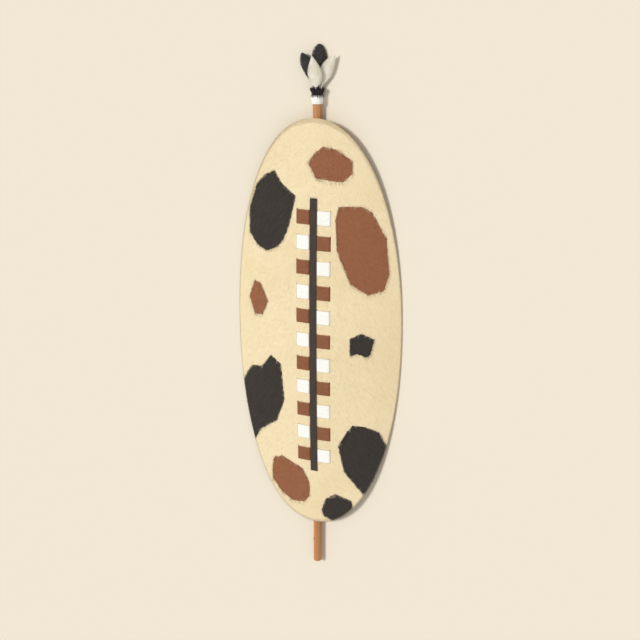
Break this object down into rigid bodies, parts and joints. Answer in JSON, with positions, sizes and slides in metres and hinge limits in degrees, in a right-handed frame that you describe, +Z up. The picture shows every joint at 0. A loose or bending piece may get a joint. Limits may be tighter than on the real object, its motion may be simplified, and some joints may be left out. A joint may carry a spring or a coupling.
{
  "type": "hide shield",
  "caption": "Long oval cowhide shield, laced in two checked columns to a straight back stick with a feather plume; shown lying on its back.",
  "frame": {"origin": "on the surface that the shield lies on, under the middle of its box", "axes": "+Y along the stick towards the plume, +X across the shield, +Z up, out of the shield's face"},
  "size_m": [0.49, 1.5301, 0.0548],
  "materials": {
    "cream_hide": "dried cowhide with its short coat on: cream, with brown and black patches",
    "brown_hide": "hair-on hide lace, red-brown, cut edges",
    "white_hide": "hair-on hide lace, white, cut edges",
    "black_hide": "hair-on hide strip, black",
    "stick_wood": "straight sapling, peeled and rubbed smooth",
    "white_binding": "narrow white hide lace, wound close",
    "black_feather": "black bird feather, slight gloss",
    "white_feather": "off-white bird feather"
  },
  "bodies": {
    "root": {"hide": "cream_hide", "stick": "stick_wood", "centre_strip": "black_hide", "lace_left_01": "brown_hide", "lace_right_01": "white_hide", "lace_left_02": "white_hide", "lace_right_02": "brown_hide", "lace_left_03": "brown_hide", "lace_right_03": "white_hide", "lace_left_04": "white_hide", "lace_right_04": "brown_hide", "lace_left_05": "brown_hide", "lace_right_05": "white_hide", "lace_left_06": "white_hide", "lace_right_06": "brown_hide", "lace_left_07": "brown_hide", "lace_right_07": "white_hide", "lace_left_08": "white_hide", "lace_right_08": "brown_hide", "lace_left_09": "brown_hide", "lace_right_09": "white_hide", "lace_left_10": "white_hide", "lace_right_10": "brown_hide", "lace_left_11": "brown_hide", "lace_right_11": "white_hide", "binding": "white_binding", "feather_black_tall": "black_feather", "feather_black_left": "black_feather", "feather_white_right": "white_feather", "feather_white_front": "white_feather", "plume_tuft": "black_feather"}
  },
  "joints": []
}
